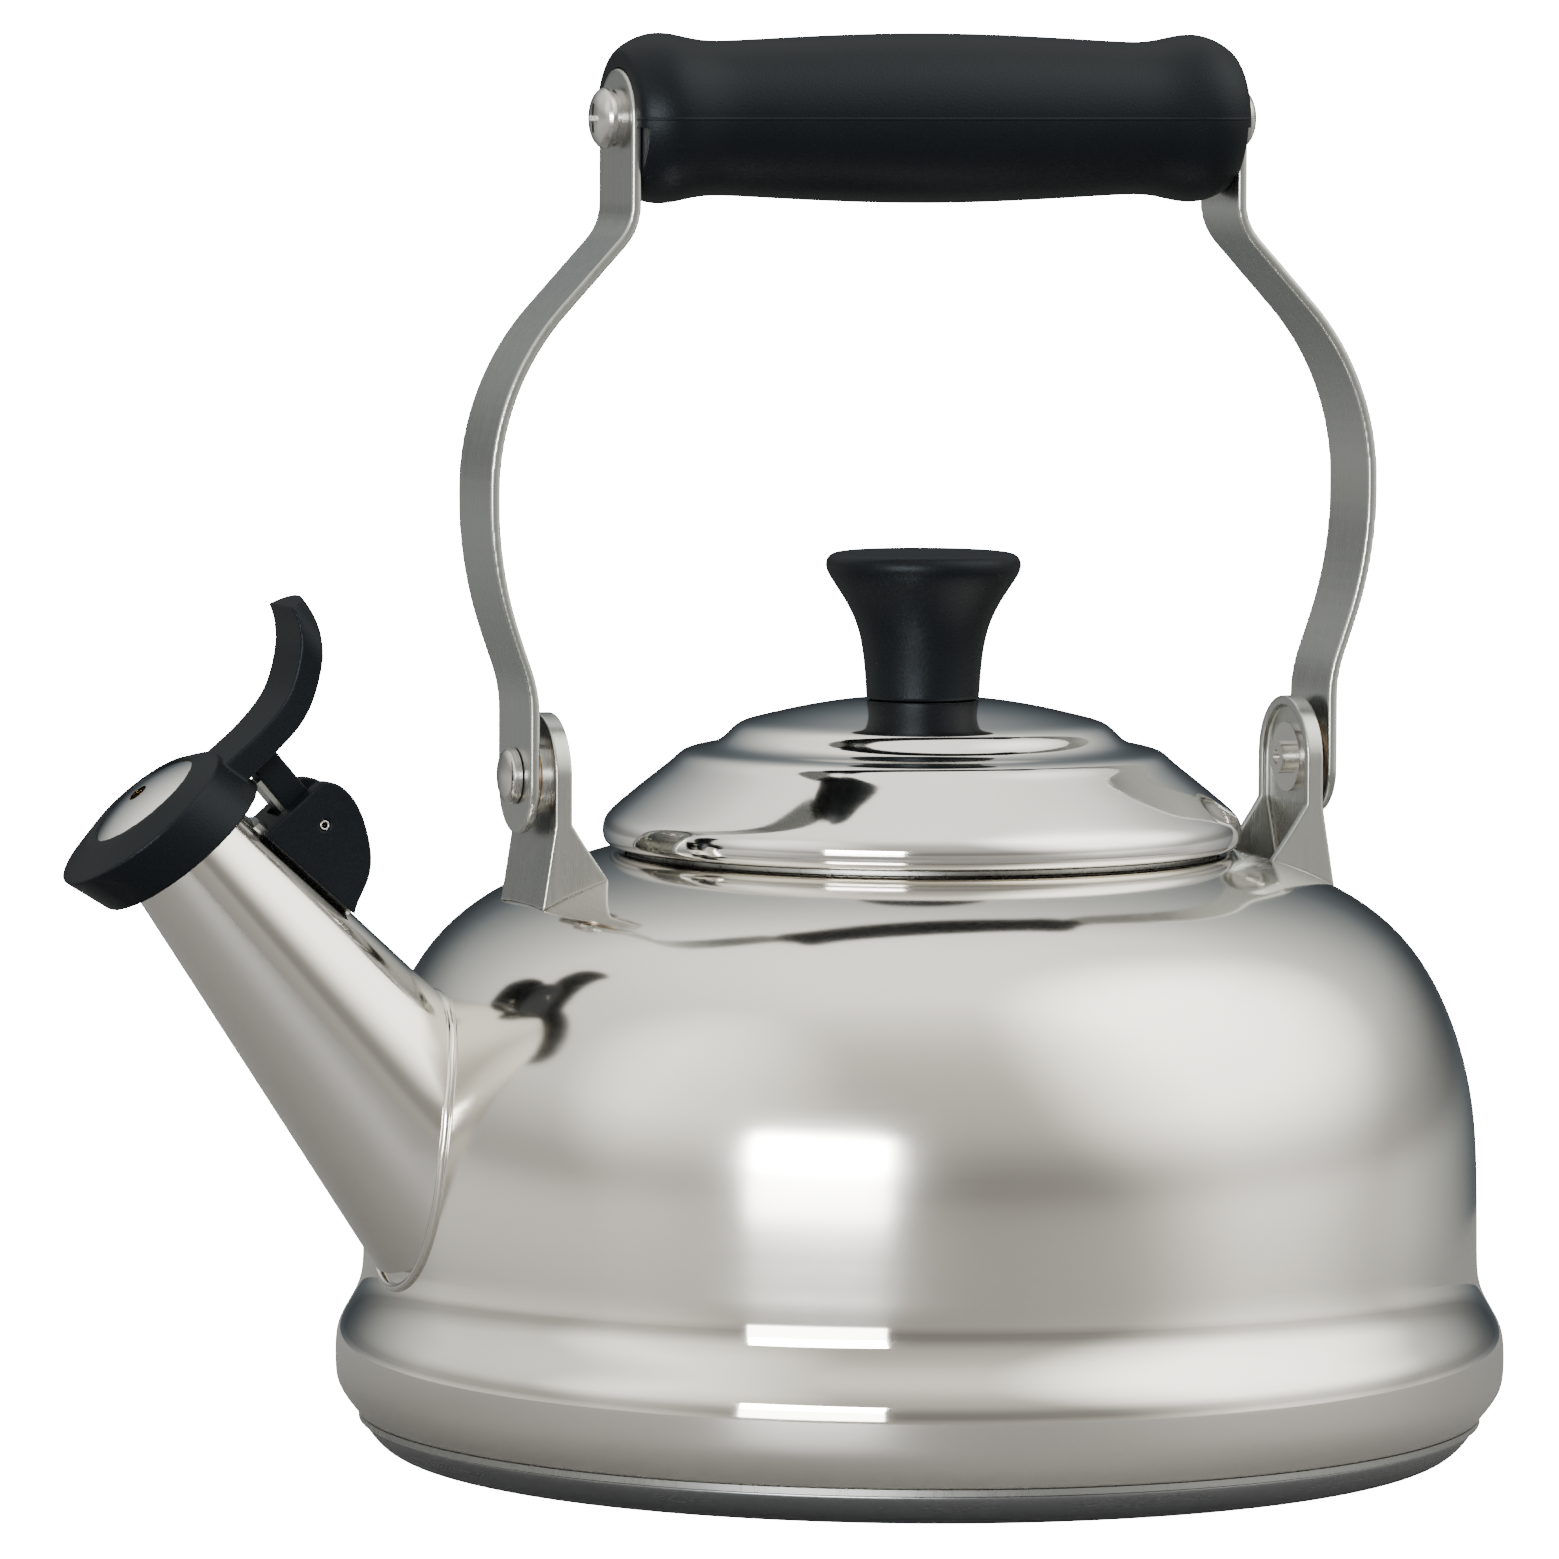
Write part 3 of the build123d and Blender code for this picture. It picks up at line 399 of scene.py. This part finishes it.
# ---- hinge block -----------------------------------------------------------------------------
# Two moulded half-moon cheeks on a thin steel saddle, riveted to the spout. A rolled pin runs
# through both.
def moulded_black(name, seam=None):
    """Grained black. A seam is the height, in metres, of the faint line where its mould closed."""
    made = bpy.data.materials.new(name)
    coat = Finish(made)
    skin = coat.tree.nodes["Principled BSDF"]
    place = coat.add("ShaderNodeTexCoord").outputs["Object"]
    grit = coat.number("ShaderNodeTexNoise", None, {0: place, 2: 2600.0, 3: 2.0, 4: 0.6})
    patch = coat.number("ShaderNodeTexNoise", None, {0: place, 2: 60.0, 3: 3.0, 4: 0.5})
    tone = coat.add("ShaderNodeMix", {"data_type": "RGBA"},
                    {0: grit * 0.6 + patch * 0.4, 6: (0.0012, 0.0016, 0.0021, 1),
                     7: (0.0040, 0.0051, 0.0064, 1)})
    coat.feed(skin.inputs["Base Color"], tone.outputs[2])
    coat.feed(skin.inputs["Roughness"], 0.32 + grit * 0.14 + patch * 0.08)
    coat.feed(skin.inputs["Specular IOR Level"], 0.13)
    coat.feed(skin.inputs["Specular Tint"], (0.78, 0.90, 1.0, 1))
    height = grit * 1.0
    if seam is not None:
        level = Number(coat, coat.add("ShaderNodeSeparateXYZ", None, {0: place}).outputs["Z"])
        away = coat.number("ShaderNodeMath", {"operation": "ABSOLUTE"}, {0: level - seam})
        ridge = coat.number("ShaderNodeMapRange", {"interpolation_type": "SMOOTHSTEP"},
                            {0: away, 1: 0.00005, 2: 0.00028, 3: 1.0, 4: 0.0})
        height = height + ridge * 1.6
    bump = coat.add("ShaderNodeBump", None, {"Strength": 0.8, "Distance": 0.00006, "Height": height})
    coat.feed(skin.inputs["Normal"], bump.outputs[0])
    return made


def softened(node, name, finish, body_name, grain, rounds):
    """The same piece with its edges rounded over, as a mould or a tumbling drum leaves them."""
    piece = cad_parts[node].copy()
    piece.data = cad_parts[node].data.copy()
    piece.name = name
    piece.parent = None
    bpy.context.collection.objects.link(piece)
    pick(piece)
    bpy.ops.object.mode_set(mode="EDIT")
    bpy.ops.mesh.select_all(action="SELECT")
    bpy.ops.mesh.remove_doubles(threshold=1e-6)
    bpy.ops.object.mode_set(mode="OBJECT")
    skin = piece.modifiers.new("skin", "REMESH")
    skin.mode = "VOXEL"
    skin.voxel_size = grain * MM
    bpy.ops.object.modifier_apply(modifier="skin")
    ease = piece.modifiers.new("ease", "SMOOTH")
    ease.factor = 0.5
    ease.iterations = rounds
    bpy.ops.object.modifier_apply(modifier="ease")
    bpy.ops.object.shade_smooth()
    piece.data.materials.clear()
    piece.data.materials.append(finish)
    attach(piece, body_name)
    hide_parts(node)
    return piece


black = moulded_black("moulded_black")
softened("hinge_block", "hinge_cheeks", black, "kettle", 0.18, 12)
bright = steel("bright_fittings", (0.55, 0.54, 0.52), 0.14, 0.26, (260, 260, 260), 0.15)
wear(satin, "hinge_saddle")
wear(bright, "hinge_rivet", "torsion_spring")

PIN_OUT = 18.4
PIN_ALONG = -15.4
pin = turn("rolled_pin", [
    (0.5, -6.55), (0.75, -6.6), (0.9, -6.45), (0.9, 0), (0.9, 6.45), (0.75, 6.6), (0.5, 6.55),
    (0.45, 6.4), (0.45, 0), (0.45, -6.4), (0.5, -6.55)], steps=24, levels=1)
pin.rotation_euler = (pi / 2, 0, 0)
pin.location = along_spout(PIN_OUT, 0, PIN_ALONG)
bpy.ops.object.transform_apply()
pin.data.materials.append(bright)
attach(pin, "kettle")
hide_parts("hinge_pin")


# ---- lid -------------------------------------------------------------------------------------
# Pressed steel: a rim turned in over the neck, a cone, a step and a low crown that seats the knob.
# A sleeve welded inside the rim drops into the neck.
lid_steel = steel("lid_steel", (0.78, 0.765, 0.735), 0.035, 0.07, (3, 3, 900), 0.03)
lid = turn("pressed_lid", [
    (47.9, 98.2), (48.0, 98.15), (50.2, 98.2), (51.4, 98.7), (51.9, 100.0), (51.85, 101.8), (51.2, 103.3),
    (49.2, 105.1), (45.7, 108.0), (42.4, 110.6), (40.5, 112.1), (39.5, 113.2), (38.2, 113.9), (35.4, 114.4),
    (33.3, 115.0), (31.9, 116.1), (30.6, 117.6), (29.0, 118.5), (25.6, 119.3), (20.2, 120.6), (14.6, 121.6),
    (10.8, 122.0), (10.2, 122.05), (6.0, 122.0), (2.1, 122.0), (2.06, 121.9), (2.06, 121.2), (2.1, 121.1),
    (6.0, 121.1), (10.4, 121.1), (14.4, 120.7), (20.0, 119.7), (25.4, 118.4), (28.5, 117.6), (30.0, 116.7),
    (31.3, 115.3), (33.0, 114.1), (35.2, 113.5), (37.9, 113.0), (38.9, 112.4), (39.9, 111.4), (41.8, 109.9),
    (45.1, 107.3), (48.5, 104.6), (50.5, 102.9), (50.95, 101.6), (51.0, 100.2), (50.6, 99.3), (49.9, 99.05),
    (48.0, 99.1), (47.9, 99.0), (47.9, 98.2)])
lid.data.materials.append(lid_steel)
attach(lid, "lid")
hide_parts("lid_shell")

wear(satin, "lid_skirt")


# ---- knob ------------------------------------------------------------------------------------
# Moulded black, waisted, with a dished top. It is held from below by a screw in a brass insert.
knob = turn("moulded_knob", [
    (0, 122.05), (5, 122.05), (8.8, 122.05), (9.2, 122.3), (9.25, 124.0), (9.55, 128.0), (10.0, 131.3),
    (10.95, 134.9), (12.8, 138.4), (15.1, 141.7), (15.95, 143.3), (15.8, 144.9), (14.7, 145.8), (12.4, 146.0),
    (8.0, 145.5), (0, 145.2)], steps=72)
knob.data.materials.append(black)
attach(knob, "lid")
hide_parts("knob")
brass = steel("brass_insert", (0.75, 0.58, 0.28), 0.2, 0.35, (260, 260, 260), 0.2)
wear(brass, "knob_insert", "whistle_spacer")
wear(bright, "knob_screw", "knob_washer")


# ---- ears and pivots -------------------------------------------------------------------------
# Folded satin steel ears, spot welded to the dome. At each a rivet holds the strap between bright
# washers, with a bronze one that gives the handle its drag.
softened("ear_right", "folded_ear_right", satin, "kettle", 0.2, 4)
softened("ear_left", "folded_ear_left", satin, "kettle", 0.2, 4)
bronze = steel("bronze_washers", (0.50, 0.34, 0.22), 0.25, 0.4, (260, 260, 260), 0.2)
wear(bronze, "pivot_friction_washers")
wear(bright, "pivot_rivets", "pivot_spacers", "pivot_outer_washers", "pivot_inner_washers")


# ---- straps ----------------------------------------------------------------------------------
# Flat steel strip, bent and linished lengthwise, with tumbled edges.
softened("strap_right", "bent_strap_right", satin, "handle", 0.32, 2)
softened("strap_left", "bent_strap_left", satin, "handle", 0.32, 2)


# ---- grip ------------------------------------------------------------------------------------
# Moulded black over a steel rod. Each end has a bead and a shallow seat for the strap, cut back
# below the middle. Truss screws with a split and a flat washer hold it.
GRIP_Z = 215.9
HALF = [(13.75, 0), (13.6, 10), (13.2, 20), (12.65, 30), (12.4, 35), (12.4, 38), (12.8, 41), (13.45, 43.7),
        (13.75, 46.2), (13.4, 48.6), (12.4, 50.8), (11.4, 52.2), (10.6, 52.75), (9.0, 52.8), (4.0, 52.8),
        (0, 52.8)]
grip = turn("turned_grip", [(r, -x) for r, x in reversed(HALF)] + HALF[1:], steps=72)
grip.rotation_euler = (0, pi / 2, 0)
grip.location = (0, 0, GRIP_Z * MM)
bpy.ops.object.transform_apply()
SEAT_X = 51.7
SEAT_R = 8.1
SEAT_LONG = 10
SEAT_STEP = GRIP_Z - 1.4
STEP_WIDE = 40
STEP_TALL = 30
for side in (-1, 1):
    seat_middle = side * (SEAT_X + SEAT_LONG / 2) * MM
    bpy.ops.object.select_all(action="DESELECT")
    bpy.ops.mesh.primitive_cylinder_add(vertices=96, radius=SEAT_R * MM, depth=SEAT_LONG * MM,
                                        rotation=(0, pi / 2, 0), location=(seat_middle, 0, GRIP_Z * MM))
    seat = bpy.context.object
    bpy.ops.mesh.primitive_cube_add(size=1, location=(seat_middle, 0, (SEAT_STEP - STEP_TALL / 2) * MM),
                                    scale=(SEAT_LONG * MM, STEP_WIDE * MM, STEP_TALL * MM))
    step = bpy.context.object
    for tool in (seat, step):
        pick(grip)
        pocket = grip.modifiers.new("pocket", "BOOLEAN")
        pocket.operation = "DIFFERENCE"
        pocket.solver = "EXACT"
        pocket.object = tool
        bpy.ops.object.modifier_apply(modifier="pocket")
        bpy.data.objects.remove(tool)
bpy.ops.object.shade_smooth_by_angle(angle=radians(40))
grip.data.materials.append(moulded_black("grip_black", GRIP_Z * MM))
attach(grip, "handle")
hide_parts("handle_grip")
wear(bright, "grip_core_rod", "grip_flat_washers", "grip_spring_washers", "grip_screws")


# ---- whistle ---------------------------------------------------------------------------------
# One black moulding makes the cap, the thumb lever and the arm. Two thin domed discs with a spacer
# between them sit in its ring and sound the whistle. A steel strip stiffens the arm.
softened("whistle_cap", "whistle_moulding", black, "whistle", 0.27, 4)
wear(lid_steel, "whistle_front_disc")
wear(satin, "whistle_back_disc", "arm_strip")
